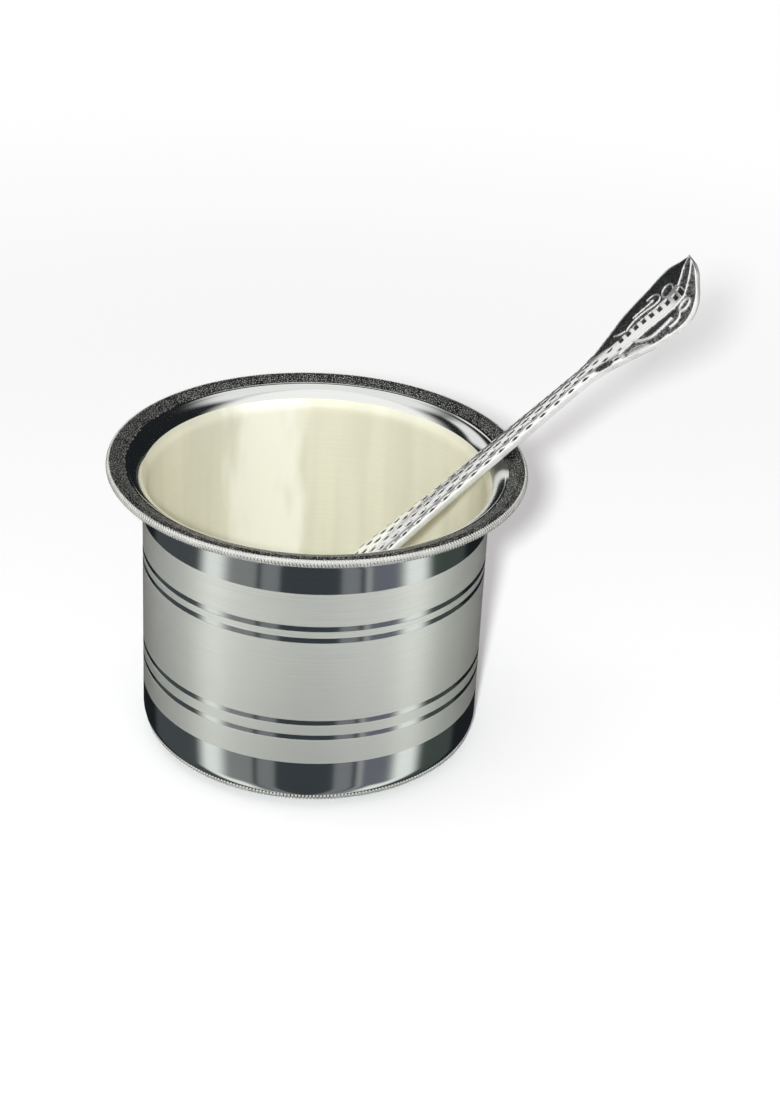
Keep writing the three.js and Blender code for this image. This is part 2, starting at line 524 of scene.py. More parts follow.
class Growth(Tree):
    """Geometry Nodes that set copies of a small ball on points. Its inputs are named."""

    def __init__(self, name: str, inputs: dict[str, str]) -> None:
        """Starts the tree.

        Args:
            name: Its name.
            inputs: The kind of each input by name. The copies' material follows them.
        """
        super().__init__(bpy.data.node_groups.new(name, "GeometryNodeTree"))
        sockets = self.tree.interface
        sockets.new_socket("Geometry", in_out="OUTPUT", socket_type="NodeSocketGeometry")
        for label, kind in (inputs | {"Material": "Material"}).items():
            sockets.new_socket(label, in_out="INPUT", socket_type="NodeSocket" + kind)
        self.given = self.node("NodeGroupInput", out=None)

    def changed(self, shape: Socket, change: str, parts: dict[int, Socket]) -> Socket:
        """A shape after a change such as "Scale", by a vector of these parts."""
        vector = self.node("ShaderNodeCombineXYZ", parts)
        return self.node("GeometryNodeTransform", {0: shape, change: vector})

    def set_copies(self, sockets: dict) -> None:
        """Ends the tree with the copies.

        Args:
            sockets: The points, the copy and how it lies on each point, as Instance on Points takes them.
        """
        copies = self.node("GeometryNodeInstanceOnPoints", sockets)
        real = self.node("GeometryNodeRealizeInstances", {0: copies})
        soft = self.node("GeometryNodeSetShadeSmooth", {0: real})
        dressed = {"Geometry": soft, "Material": self.given["Material"]}
        self.close("NodeGroupOutput", self.node("GeometryNodeSetMaterial", dressed))


class BeadRing(Growth):
    """Equal beads round a circle, as a knurling wheel leaves them."""

    def __init__(self) -> None:
        """Builds the tree."""
        sizes = ("Radius", "Height", "Bead Out", "Bead Along", "Bead Up", "Slant", "Tilt")
        super().__init__("bead_ring", {"Count": "Int"} | dict.fromkeys(sizes, "Float"))
        count, radius, height, out, along, up, slant, tilt = list(self.given)[:8]
        circle = self.node("GeometryNodeMeshCircle", {"Vertices": count, "Radius": radius})
        ball = self.node("GeometryNodeMeshUVSphere", {"Segments": 8, "Rings": 5, "Radius": 0.5})
        bead = self.changed(ball, "Scale", {0: out, 1: along, 2: up})
        place = {"Vector": self.node("GeometryNodeInputPosition")}
        outward = self.node("FunctionNodeAlignRotationToVector", place, axis="X", pivot_axis="Z")
        self.set_copies(
            {
                0: self.changed(circle, "Translation", {2: height}),
                "Instance": self.changed(bead, "Rotation", {0: slant, 1: tilt}),
                "Rotation": outward,
            }
        )


class GrainField(Growth):
    """Flat grains scattered over a surface, as a punch leaves them."""

    def __init__(self) -> None:
        """Builds the tree."""
        sizes = dict.fromkeys(("Density", "Spacing", "Grain", "Thickness"), "Float")
        super().__init__("grain_field", {"Geometry": "Geometry"} | sizes | {"Seed": "Int"})
        base, density, spacing, grain, thickness, seed = list(self.given)[:6]
        spread = {"Mesh": base, "Distance Min": spacing, "Density Max": density, "Seed": seed}
        scatter = "GeometryNodeDistributePointsOnFaces"
        scattered = self.node(scatter, spread, None, distribute_method="POISSON")
        ball = self.node("GeometryNodeMeshUVSphere", {"Segments": 5, "Rings": 3, "Radius": 0.5})
        least, most = 0.55, 1.25
        share = {2: least, 3: most, "Seed": seed}
        self.set_copies(
            {
                0: scattered["Points"],
                "Instance": self.changed(ball, "Scale", {0: grain, 1: grain, 2: thickness}),
                "Rotation": scattered["Rotation"],
                "Scale": self.node("FunctionNodeRandomValue", share, 1, data_type="FLOAT"),
            }
        )


def grown(name: str, tree: Growth, inputs: dict, base: bpy.types.Mesh | None = None) -> Piece:
    """Runs a geometry tree and keeps what it makes as a plain mesh.

    Args:
        name: The piece's name.
        tree: The tree.
        inputs: The values of its named inputs, lengths in metres.
        base: The mesh that it starts from, if it reads one.

    Returns:
        The piece, with no modifier left on it.
    """
    seed = placed(name + "_seed", base or bpy.data.meshes.new(name + "_seed"))
    modifier = seed.modifiers.new(name, "NODES")
    modifier.node_group = tree.tree
    for socket in tree.tree.interface.items_tree:
        if socket.in_out == "INPUT" and socket.name in inputs:
            modifier[socket.identifier] = inputs[socket.name]
    graph = bpy.context.evaluated_depsgraph_get()
    mesh = bpy.data.meshes.new_from_object(seed.evaluated_get(graph), depsgraph=graph)
    bpy.data.objects.remove(seed)
    mesh.name = name
    return placed(name, mesh)


class Zone(Enum):
    """The stretches of the pot's shell, in the order of its finishes."""

    SATIN = 0
    POLISH = 1
    CREAM = 2
    LIP = 3


ZONE_FINISHES = (Finish.SATIN, Finish.POLISH, Finish.CREAM, Finish.LIP)
Marked = tuple[float, float, Zone]


def moved(start: Point, *steps: tuple[Point, float]) -> Point:
    """A point after steps, each a direction and a distance along it."""
    for way, length in steps:
        start = (start[0] + way[0] * length, start[1] + way[1] * length)
    return start


@dataclass(frozen=True)
class BeadRows:
    """Rows of equal beads on a rounded edge. Each place is an angle from straight out, in degrees."""

    name: str
    places: tuple[float, ...]
    count: int
    bead: Triple
    sink: float = 0.0
    slant: float = 0.0

    def build(self, tree: BeadRing, centre: Point, radius: float) -> list[Piece]:
        """Sets the rows.

        Args:
            tree: The tree that makes a row.
            centre: The edge's centre, as radius and height.
            radius: The edge's own radius.

        Returns:
            A piece for each row.
        """
        sizes: dict = {"Count": self.count, "Slant": math.radians(self.slant)}
        sizes["Material"] = Finish.KNURL.material()
        for name, size in zip(("Bead Out", "Bead Along", "Bead Up"), self.bead):
            sizes[name] = size * MM
        rows = []
        for index, place in enumerate(self.places):
            turn = math.radians(place)
            across, up = moved(centre, ((math.cos(turn), math.sin(turn)), radius - self.sink))
            ring = {"Radius": across * MM, "Height": up * MM, "Tilt": -turn}
            rows.append(grown(f"{self.name}_{index + 1}", tree, sizes | ring))
        return rows


@dataclass
class Pot:
    """The drawn cup with its turned lines, stippled lip, rolled edge and milled foot."""

    body_radius: float = 26.5
    sheet: float = 0.6
    heel_radius: float = 3.0
    base_step: float = 0.6
    mouth_height: float = 41.25
    flare_radius: float = 4.0
    lip_slope: float = 22.0
    lip_run: float = 2.6
    wire_radius: float = 0.35
    wire_clearance: float = 0.1
    roll_skin: float = 0.4
    roll_opening: float = 95.0
    foot_width: float = 1.6
    foot_inset: float = 0.1
    foot_channel: float = 2.3
    line_heights: tuple[float, ...] = (12.76, 15.33, 29.57, 31.5)
    line_width: float = 0.82
    line_depth: float = 0.03
    line_bevel: float = 0.02
    heel_polish_top: float = 8.15
    neck_polish_base: float = 37.3
    flare_polish_base: float = 43.6
    stipple_start: float = 29.05
    stipple_gap: float = 6.0
    grain_density: float = 2.0e7
    grain_spacing: float = 0.30
    grain_size: float = 0.28
    grain_thickness: float = 0.09
    grain_seed: int = 7
    ring_inset: float = 0.35
    ring_section: tuple[Point, ...] = ((-0.09, 0.0), (-0.03, 0.03), (0.03, 0.03), (0.09, 0.0))
    rope_start: float = 52.0
    knurl_height: float = 0.12
    rope: BeadRows = BeadRows("rim_rope", (34.0, -8.0), 400, (0.288, 0.42, 0.80), 0.15, 26.0)
    milling: BeadRows = BeadRows("foot_milling", (-36.0, -50.0), 300, (0.50, 0.46, 0.60))
    segments: int = 320
    lip_segments: int = 96
    beads: BeadRing = field(default_factory=BeadRing)

    @property
    def heel_centre(self) -> Point:
        """Centre of the rounded heel, as radius and height."""
        return self.body_radius - self.heel_radius, self.base_step + self.heel_radius

    @property
    def flare_centre(self) -> Point:
        """Centre of the flared mouth's arc."""
        return self.body_radius - self.sheet + self.flare_radius, self.mouth_height

    @property
    def lip_ways(self) -> tuple[Point, Point]:
        """The directions outwards along the lip's slope, and up from it."""
        slope = math.radians(self.lip_slope)
        return (math.cos(slope), math.sin(slope)), (-math.sin(slope), math.cos(slope))

    @property
    def roll_hole(self) -> float:
        """Radius of the hole inside the rolled edge."""
        return self.wire_radius + self.wire_clearance

    @property
    def roll_radius(self) -> float:
        """Outside of the rolled edge."""
        return self.roll_hole + self.roll_skin

    @property
    def rope_bed(self) -> float:
        """Outside of the rolled edge's metal, under the rope."""
        return self.roll_radius - self.knurl_height

    @property
    def roll_centre(self) -> Point:
        """Centre of the rolled edge."""
        along, up = self.lip_ways
        return moved(self.flare_centre, (up, self.flare_radius - self.roll_radius), (along, self.lip_run))

    @property
    def foot_outer(self) -> float:
        """Outside of the foot ring."""
        return self.heel_centre[0] - self.foot_inset

    @property
    def base_radius(self) -> float:
        """Outside of the pressed base."""
        return self.foot_outer - self.foot_width - self.foot_channel

    def wall_outside(self) -> list[Marked]:
        """The straight wall from the heel up: satin, with polished bands and turned lines."""
        outside, deep = self.body_radius, self.body_radius - self.line_depth
        half = self.line_width / 2
        points = [
            (outside, self.heel_centre[1], Zone.POLISH),
            (outside, self.heel_polish_top, Zone.SATIN),
        ]
        for height in self.line_heights:
            points += [
                (outside, height - half - self.line_bevel, Zone.POLISH),
                (deep, height - half, Zone.POLISH),
                (deep, height + half, Zone.POLISH),
                (outside, height + half + self.line_bevel, Zone.SATIN),
            ]
        return [*points, (outside, self.neck_polish_base, Zone.POLISH)]

    def lip_band(self) -> tuple[Point, Point]:
        """The upper and lower end of the stippled slope between the rolled edge and the polished flare."""
        along, up = self.lip_ways
        top = moved(self.roll_centre, (up, self.roll_radius))
        back = (top[0] - self.stipple_start) / along[0]
        return top, (self.stipple_start, top[1] - along[1] * back)

    def lip_inside(self) -> list[Marked]:
        """The mouth down to the straight wall: stippled slope, fine raised ring, flare and white inside."""
        along, up = self.lip_ways
        top, edge = self.lip_band()
        points = [(*top, Zone.LIP), (*edge, Zone.POLISH)]
        for step, rise in self.ring_section:
            points.append((*moved(edge, (along, -self.ring_inset - step), (up, rise)), Zone.POLISH))
        for radius, height in arc(self.flare_centre, self.flare_radius, 90 + self.lip_slope, 180, 30):
            zone = Zone.POLISH if height > self.flare_polish_base else Zone.CREAM
            points.append((radius, height, zone))
        return points

    def profile(self) -> tuple[list[Point], list[int]]:
        """The shell's section, from the middle of its underside round to the middle of its floor.

        Returns:
            The points, and the zone of the stretch that starts at each.
        """
        slope_end = 90.0 + self.lip_slope
        roll_end = slope_end - 360.0 + self.roll_opening
        roll, bed = self.roll_centre, self.rope_bed
        along, up = self.lip_ways
        under = moved(roll, (along, -self.roll_radius - self.sheet), (up, self.roll_radius - self.sheet))
        marked: list[Marked] = []

        def add(points: list[Point], zone: Zone) -> None:
            """Adds points whose stretches are in one zone."""
            marked.extend((*point, zone) for point in points)

        add([(0.0, 0.0), (self.base_radius, 0.0), (self.base_radius, self.base_step)], Zone.POLISH)
        add(arc(self.heel_centre, self.heel_radius, -90, 0, 14)[:-1], Zone.POLISH)
        marked += self.wall_outside()
        add(arc(self.flare_centre, self.flare_radius - self.sheet, 180, slope_end, 14), Zone.POLISH)
        add([under], Zone.POLISH)
        add(arc(roll, self.roll_hole, slope_end, roll_end, 24), Zone.LIP)
        add(arc(roll, bed, roll_end, self.rope_start, 30), Zone.POLISH)
        add(arc(roll, bed, self.rope_start, slope_end, 8)[1:], Zone.LIP)
        marked += self.lip_inside()
        add(arc(self.heel_centre, self.heel_radius - self.sheet, 0, -90, 12), Zone.CREAM)
        floor = self.base_step + self.sheet
        inner_base = self.base_radius - self.sheet
        add([(inner_base, floor), (inner_base, self.sheet), (0.0, self.sheet)], Zone.CREAM)
        return [(radius, height) for radius, height, _ in marked], [zone.value for *_, zone in marked]

    def build_shell(self) -> Piece:
        """Turns the shell and dresses its zones."""
        points, zones = self.profile()
        shell = turned(points, self.segments, zones).piece("pot_body", 50)
        dress(shell, *ZONE_FINISHES)
        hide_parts("pot_shell")
        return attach(shell, "pot")

    def build_rope(self) -> list[Piece]:
        """Sets the rope of slanted beads round the rolled edge."""
        pieces = []
        for rope in self.rope.build(self.beads, self.roll_centre, self.roll_radius):
            pieces.append(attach(rope, "pot"))
        return pieces

    def build_grain(self) -> Piece:
        """Scatters the stippling's raised grains over the lip, up to the rope."""
        start = self.rope_start + self.stipple_gap
        band = [*arc(self.roll_centre, self.rope_bed, start, 90 + self.lip_slope, 6), *self.lip_band()]
        surface = turned(band, self.lip_segments)
        surface.faces = surface.faces[: self.lip_segments * (len(band) - 1)]
        surface.zones = []
        base = surface.piece("lip_band")
        sizes = {
            "Density": self.grain_density,
            "Spacing": self.grain_spacing * MM,
            "Grain": self.grain_size * MM,
            "Thickness": self.grain_thickness * MM,
            "Seed": self.grain_seed,
            "Material": Finish.GRAIN.material(),
        }
        made = grown("rim_stipple", GrainField(), sizes, base.data)
        bpy.data.objects.remove(base)
        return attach(made, "pot")

    def build_foot(self) -> list[Piece]:
        """Makes the foot ring and the rows of milling on the heel's edge over it."""
        top, soft = self.base_step, self.base_step / 4
        near, far = self.foot_outer - self.foot_width + soft, self.foot_outer - soft
        quarters = ((180, near, soft), (-90, far, soft), (0, far, top - soft), (90, near, top - soft))
        section = [point for start, *place in quarters for point in arc(place, soft, start, start + 90, 4)]
        ring = turned(section, self.segments).piece("foot_band")
        dress(ring, Finish.POLISH)
        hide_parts("foot_ring")
        pieces = [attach(ring, "pot")]
        for milling in self.milling.build(self.beads, self.heel_centre, self.heel_radius):
            pieces.append(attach(milling, "pot"))
        return pieces

    def build(self) -> list[Piece]:
        """Builds and dresses every piece that rides on the pot."""
        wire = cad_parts["rim_wire"]
        dress(wire, Finish.WIRE)
        return [self.build_shell(), *self.build_rope(), self.build_grain(), *self.build_foot(), wire]


def smoothstep(values: Grid, low: Grid | float, high: Grid | float) -> Grid:
    """Rises softly from 0 at low to 1 at high."""
    share = np.clip((values - low) / (high - low), 0, 1)
    return share * share * (3 - 2 * share)


def between(values: Grid, rise: tuple, fall: tuple) -> Grid:
    """Rises softly from 0 to 1 over one stretch and falls back over another."""
    return smoothstep(values, *rise) * (1 - smoothstep(values, *fall))


def smooth_line(stops: tuple[Point, ...] | list[Point], steps: int) -> Grid:
    """A Catmull-Rom curve.

    Args:
        stops: The points that it passes through.
        steps: How many stretches lie between two of them.

    Returns:
        Its points, one row each.
    """
    given = np.array(stops, float)
    padded = np.vstack([2 * given[0] - given[1], given, 2 * given[-1] - given[-2]])
    rows = []
    for index in range(len(given) - 1):
        before, start, end, after = padded[index : index + 4]
        square = 2 * before - 5 * start + 4 * end - after
        cube = 3 * start - before - 3 * end + after
        for t in np.linspace(0, 1, steps, endpoint=False):
            rows.append(0.5 * (2 * start + (end - before) * t + square * t**2 + cube * t**3))
    return np.array([*rows, given[-1]])


def distance_to(line: Grid, along: Grid, across: Grid) -> Grid:
    """How far each point of a grid lies from a line.

    Args:
        line: The ends of the line's short stretches, one row each.
        along: The points' distances along the spoon.
        across: Their distances from its middle line.

    Returns:
        The distances.
    """
    nearest = np.full(along.shape, np.inf)
    for start, end in zip(line, line[1:]):
        step = end - start
        share = ((along - start[0]) * step[0] + (across - start[1]) * step[1]) / max(step @ step, 1e-9)
        share = np.clip(share, 0, 1)
        gap = np.hypot(along - start[0] - share * step[0], across - start[1] - share * step[1])
        nearest = np.minimum(nearest, gap)
    return nearest


def loop(centre: Point, half_length: float, half_width: float) -> tuple[Point, ...]:
    """Stops round an oval."""
    ways = [(half_length * math.cos(t), half_width * math.sin(t)) for t in np.linspace(0, 2 * np.pi, 9)]
    return tuple((centre[0] + along, centre[1] + across) for along, across in ways)


def tube_faces(rows: int, count: int) -> Faces:
    """Faces between rows of points that close on themselves.

    Args:
        rows: How many rows there are.
        count: How many points are in each.

    Returns:
        The faces, row after row.
    """
    return [
        (low + i, low + (i + 1) % count, low + count + (i + 1) % count, low + count + i)
        for low in range(0, (rows - 1) * count, count)
        for i in range(count)
    ]


@dataclass(frozen=True)
class Ridge:
    """A raised line of the hood's ornament, as distances along the spoon and across its handle."""

    stops: tuple[Point, ...]
    half_width: float = 0.15
    edge: Point = (0.6, 1.35)

    def rise(self, along: Grid, across: Grid) -> Grid:
        """How far each point lies on the line, from 0 to 1."""
        gap = distance_to(smooth_line(self.stops, 8), along, across)
        return 1 - smoothstep(gap, self.half_width * self.edge[0], self.half_width * self.edge[1])


@dataclass(frozen=True)
class Spot:
    """A soft oval of the ornament or of painted shade, or a square hole between the bones of the snake's
    spine.

    Its turn is the cosine and sine of an angle.
    """

    along: float
    across: float
    half_length: float = 0.32
    half_width: float = 0.60
    edge: Point = (0.75, 1.15)
    turn: Point = (1.0, 0.0)
    square: bool = True

    def share(self, along: Grid, across: Grid) -> Grid:
        """How far each point lies in the spot, from 0 to 1."""
        step, side = along - self.along, across - self.across
        lengthwise = np.abs(step * self.turn[0] - side * self.turn[1]) / self.half_length
        crosswise = np.abs(step * self.turn[1] + side * self.turn[0]) / self.half_width
        away = np.maximum(lengthwise, crosswise) if self.square else np.hypot(lengthwise, crosswise)
        return 1 - smoothstep(away, *self.edge)


@dataclass
class Spoon:
    """The spoon: an oval dish, and a struck strip that ends in a snake's hood."""

    length: float = 109.0
    bowl_length: float = 27.0
    bowl_width: float = 18.0
    bowl_depth: float = 5.0
    bowl_skin: float = 0.8
    bowl_steps: int = 28
    bowl_segments: int = 120
    strip: float = 1.4
    strip_crown: float = 0.35
    lap_half: float = 3.2
    lap_length: float = 6.0
    tail_overlap: float = 1.2
    tail_inset: float = 0.35
    tail_blend: float = 4.0
    shoulder_length: float = 3.0
    shoulder_half: float = 4.0
    stem_half: float = 2.7
    neck_length: float = 6.0
    neck_half: float = 2.0
    hood_length: float = 23.0
    hood_root_half: float = 2.25
    hood_half: float = 7.4
    hood_crown: float = 1.0
    curl_length: float = 10.0
    curl_rise: float = 3.7
    turn: float = 15.9
    aside: float = 2.4
    tip_inset: float = 0.5
    rest_clearance: float = 0.3
    hood_stops: tuple[float, ...] = (0.22, 0.41, 0.65, 0.8, 0.91, 1.0)
    hood_shares: tuple[float, ...] = (0.57, 0.84, 1.0, 0.88, 0.46, 0.05)
    scale_period: float = 2.786
    scale_phase: float = 45.4
    scale_shift: float = -0.15
    scale_row: float = 0.33
    scale_rows: tuple[int, int] = (-2, 3)
    scale_length: float = 1.10
    scale_width: float = 0.58
    scale_growth: float = 0.15
    scale_edge: Point = (0.6, 1.15)
    scale_depth: float = 0.20
    scales_end: float = 91.6
    far_scales: float = 0.8
    field_depth: float = 0.26
    field_rise: float = 1.4
    field_lead: float = 1.2
    far_field_lead: float = 3.6
    far_field: Point = (-0.1, 0.5)
    near_shade: float = 0.62
    far_shade: float = 0.72
    near_border: float = 0.30
    near_border_gain: float = 0.35
    near_border_gains: Point = (101.0, 105.0)
    far_border: float = 0.22
    border_edge: Point = (0.7, 1.3)
    spine_start: float = 92.0
    spine_end: Point = (103.9, 104.2)
    spine_far: Point = (-0.02, -0.03)
    spine_near: Point = (-2.85, -0.085)
    spine_edge: float = 0.1
    groove_along: tuple[Point, Point] = ((94.8, 96.0), (101.0, 102.0))
    groove_across: tuple[Point, Point] = ((-4.9, -4.2), (-2.8, -2.4))
    groove_depth: float = 0.12
    patch: Spot = Spot(93.4, -5.0, 2.3, 1.0, (0.8, 1.1), (0.86, 0.51), False)
    patch_level: float = 0.62
    # A painted shade: a dark oval on the near edge where the hood starts.
    root: Spot = Spot(87.9, 0.0, 1.8, 0.55, (0.7, 1.1), square=False)
    root_place: float = -0.82
    root_shade: float = 0.75
    hole_depth: float = 0.25
    relief_edge: float = 0.06
    filed_edge: float = 0.955
    blunt: float = 0.7
    blunt_length: float = 0.84
    blunt_least: float = 0.002
    stem_rows: int = 210
    hood_rows: int = 330
    top_columns: int = 156
    back_columns: int = 20
    edge_crowding: float = 0.4
    holes: tuple[Spot, ...] = (
        *(Spot(92.3 + 1.49 * i, -0.55 - 0.1 * i - 0.012 * i * i) for i in range(7)),
        Spot(102.65, -2.35, 0.32, 0.72),
        Spot(103.8, -2.5, 0.34, 0.9),
    )
    ridges: tuple[Ridge, ...] = (
        Ridge(((93.3, -2.3), (94.2, -3.5), (95.3, -4.4), (96.5, -4.85), (98.4, -4.9), (100.1, -4.75)), 0.24),
        Ridge(((101.9, -4.95), (101.5, -5.4), (100.9, -5.85), (99.9, -5.95), (99.2, -5.85)), 0.17),
        Ridge(((95.9, -6.55), (98.1, -6.75)), 0.28),
        Ridge(
            ((93.9, 0.35), (94.7, 0.75), (96.3, 1.03), (98.4, 0.8), (100.1, 0.5), (100.9, 0.9), (101.1, 1.8))
        ),
        Ridge(((101.1, 1.8), (100.8, 2.7), (100.1, 3.25), (99.2, 3.3))),
        Ridge(((95.9, 1.9), (97.5, 1.85), (99.0, 1.85), (99.9, 2.0))),
        Ridge(((91.9, 1.9), (92.6, 1.1), (93.6, 0.55))),
        Ridge(((103.2, -1.4), (104.8, -0.6), (106.4, 0.15), (108.0, 0.0))),
        Ridge(((103.9, -3.6), (105.2, -2.8), (106.4, -2.0), (108.0, -0.8))),
        Ridge(((104.0, -1.1), (104.25, -2.3), (104.05, -3.5))),
        Ridge(loop((102.9, -4.95), 1.1, 0.62), 0.19),
        Ridge(loop((102.45, 0.65), 1.1, 1.3), 0.13),
    )

    @property
    def stem_start(self) -> float:
        """Where the shoulders end and the stem starts."""
        return self.bowl_length + self.shoulder_length

    @property
    def hood_start(self) -> float:
        """Where the stem starts to spread."""
        return self.length - self.hood_length

    @property
    def curl_start(self) -> float:
        """Where the hood starts to curl up."""
        return self.length - self.curl_length

    def outline(self) -> Grid:
        """Half the handle's width along it."""
        neck = self.hood_start - self.neck_length
        stops = [
            (self.bowl_length - self.lap_length, self.lap_half),
            (self.stem_start, self.shoulder_half),
            ((self.stem_start + neck) / 2, self.stem_half),
            (neck, self.neck_half),
            (self.hood_start, self.hood_root_half),
        ]
        for stop, share in zip(self.hood_stops, self.hood_shares):
            stops.append((self.hood_start + self.hood_length * stop, self.hood_half * share))
        return smooth_line(stops, 24)

    def scales(self, along: Grid, across: Grid, half: Grid) -> Grid:
        """The staggered rows of pits, which spread as the stem does.

        Args:
            along: Distance from the spoon's tip.
            across: Distance from the middle line, towards the far side.
            half: Half the handle's width there.

        Returns:
            How deep each point lies in a pit, up to 1 in its middle.
        """
        place = (across / half - self.scale_shift) / self.scale_row
        row = np.round(place)
        beat = along - self.scale_phase + np.where(row % 2 == 0, 0.0, self.scale_period / 2)
        lengthwise = beat - np.round(beat / self.scale_period) * self.scale_period
        crosswise = (place - row) * self.scale_row * half
        width = self.scale_width * (1 + self.scale_growth * row)
        away = np.hypot(lengthwise * 2 / self.scale_length, crosswise * 2 / width)
        last = np.where(row > 0, self.hood_start + self.far_scales, self.scales_end)
        there = (row >= self.scale_rows[0]) & (row <= self.scale_rows[1]) & (along < last)
        return np.where(there & (along > self.stem_start), 1 - smoothstep(away, *self.scale_edge), 0.0)

    def raised(self, along: Grid, across: Grid, half: Grid) -> Grid:
        """The parts of the hood that stand up from its sunken field: border, spine, patch and ridges.

        Args:
            along: Distance from the spoon's tip.
            across: Distance from the middle line, towards the far side.
            half: Half the handle's width there.

        Returns:
            How far each point stands up, from 0 to 1.
        """
        near = self.near_border + self.near_border_gain * smoothstep(along, *self.near_border_gains)
        wide = np.where(across < 0, near, self.far_border)
        inner, outer = self.border_edge
        border = 1 - smoothstep(half - np.abs(across), wide * inner, wide * outer)
        past, soft = along - self.spine_start, self.spine_edge
        low, high = (side[0] + side[1] * past for side in (self.spine_near, self.spine_far))
        spine = between(across, (low - soft, low + soft), (high - soft, high + soft))
        spine = spine * (1 - smoothstep(along, *self.spine_end))
        patch = self.patch.share(along, across) * self.patch_level
        ridges = [ridge.rise(along, across) for ridge in self.ridges]
        return np.maximum.reduce([border, spine, patch, *ridges])

    def relief(self, along: Grid, across: Grid, half: Grid) -> tuple[Grid, Grid]:
        """The height of what is struck into the top, and how dark it is, with a painted shade where the hood
        starts on the near side.

        Args:
            along: Distance from the spoon's tip.
            across: Distance from the middle line, towards the far side.
            half: Half the handle's width there.

        Returns:
            Heights in millimetres, and darkness from 0 to 1.
        """
        far = smoothstep(across / half, *self.far_field)
        start = self.scales_end - self.field_lead - self.far_field_lead * far
        hood = smoothstep(along, start, start + self.field_rise)
        pits = self.scales(along, across, half)
        sunken = hood * (1 - self.raised(along, across, half))
        holes = hood * np.maximum.reduce([hole.share(along, across) for hole in self.holes])
        groove = sunken * between(along, *self.groove_along) * between(across, *self.groove_across)
        height = -self.scale_depth * pits - self.field_depth * sunken
        height = height - self.hole_depth * holes - self.groove_depth * groove
        shade = sunken * np.where(across < 0, self.near_shade, self.far_shade)
        # Painted shade on the near edge where the hood starts, not a recess.
        root = self.root.share(along, across - self.root_place * half) * self.root_shade
        return height, np.clip(np.maximum.reduce([pits, shade, holes, groove, root]), 0, 1)

    def stations(self) -> tuple[Grid, Grid]:
        """Distances along the handle where it has a row of points, and half its width there."""
        outline = self.outline()
        end = self.length - self.blunt
        tail = self.bowl_length - self.tail_overlap
        stem = np.linspace(tail, self.hood_start, self.stem_rows, endpoint=False)
        places = np.concatenate([stem, np.linspace(self.hood_start, end, self.hood_rows)])
        to_end = np.clip((end - places) / self.blunt_length, 0, 1)
        rounded = np.sqrt(np.clip(1 - (1 - to_end) ** 2, self.blunt_least, 1))
        return places, np.interp(places, outline[:, 0], outline[:, 1]) * rounded

    def section(self) -> tuple[Grid, Grid]:
        """Where the points of a row lie: their share of half the width, and 1 on top or -1 on the back."""
        turns = np.linspace(-1, 1, self.top_columns + 1)
        crowded = np.sin(turns * np.pi / 2)
        top = (1 - self.edge_crowding) * turns + self.edge_crowding * crowded
        back = np.sin(np.linspace(1, -1, self.back_columns + 1)[1:-1] * np.pi / 2)
        return np.concatenate([top, back]), np.concatenate([np.ones(len(top)), -np.ones(len(back))])

    def handle_grid(self) -> tuple[Grid, Grid]:
        """The handle's rows of points in the spoon's own frame, and how dark each point is."""
        stations, halves = self.stations()
        shares, sides = self.section()
        along, share = np.meshgrid(stations, shares, indexing="ij")
        half = np.repeat(halves[:, None], len(shares), axis=1)
        across = half * share
        thick = self.strip / 2 * (1 - np.abs(share) ** 4) ** 0.25
        spread = smoothstep(along, self.hood_start, self.curl_start)
        crown = self.strip_crown + (self.hood_crown - self.strip_crown) * spread
        curl = self.curl_rise * (np.clip(along - self.curl_start, 0, None) / self.curl_length) ** 2
        height, dark = self.relief(along, across, half)
        struck = np.where((sides > 0)[None, :], smoothstep(1 - np.abs(share), 0.0, self.relief_edge), 0.0)
        surface = sides[None, :] * thick + crown * (1 - share**2) + curl + height * struck
        seat = self.bowl_length / 2
        inside = self.bowl_width / 2 - self.tail_inset
        round_end = np.sqrt(np.clip(1 - (across / inside) ** 2, 0, 1))
        tail = seat + (seat - self.tail_inset) * round_end
        blend = (1 - smoothstep(along, stations[0], stations[0] + self.tail_blend)) ** 2
        along = along + (tail - stations[0]) * blend
        return np.stack([along, across, surface], axis=-1), dark * struck

    def handle_shape(self) -> tuple[Shape, Grid]:
        """The closed handle in the spoon's own frame, filed on edges and back, with each point's darkness."""
        grid, dark = self.handle_grid()
        shares, sides = self.section()
        rows, count = dark.shape
        foot, tip = rows * count, rows * count + 1
        points = [*grid.reshape(-1, 3), grid[0].mean(axis=0), grid[-1].mean(axis=0)]
        rim = np.minimum(np.abs(shares), np.abs(np.roll(shares, -1))) > self.filed_edge
        zones = (rim | (sides < 0)).astype(int).tolist() * (rows - 1)
        faces = tube_faces(rows, count)
        last = (rows - 1) * count
        for i in range(count):
            after = (i + 1) % count
            faces += [(foot, after, i), (tip, last + i, last + after)]
            zones += [1, 1]
        return Shape(np.array(points), faces, zones), np.concatenate([dark.reshape(-1), [0.0, 0.0]])

    def dish_shape(self) -> Shape:
        """The oval dish in the spoon's own frame, with a rounded rim."""
        half_width, depth, skin = self.bowl_width / 2, self.bowl_depth, self.bowl_skin
        quarter = np.linspace(0, np.pi / 2, self.bowl_steps)
        outside = [(half_width * math.sin(a), -depth * math.cos(a)) for a in quarter]
        inner_half, inner_depth = half_width - skin, depth - skin
        inside = [(inner_half * math.sin(a), -inner_depth * math.cos(a)) for a in quarter[::-1]]
        rim = arc((half_width - skin / 2, 0.0), skin / 2, 0, 180, 8)[1:-1]
        shape = turned([*outside, *rim, *inside], self.bowl_segments)
        shape.points[:, 0] *= self.bowl_length / self.bowl_width
        shape.points[:, 0] += self.bowl_length / 2
        return shape

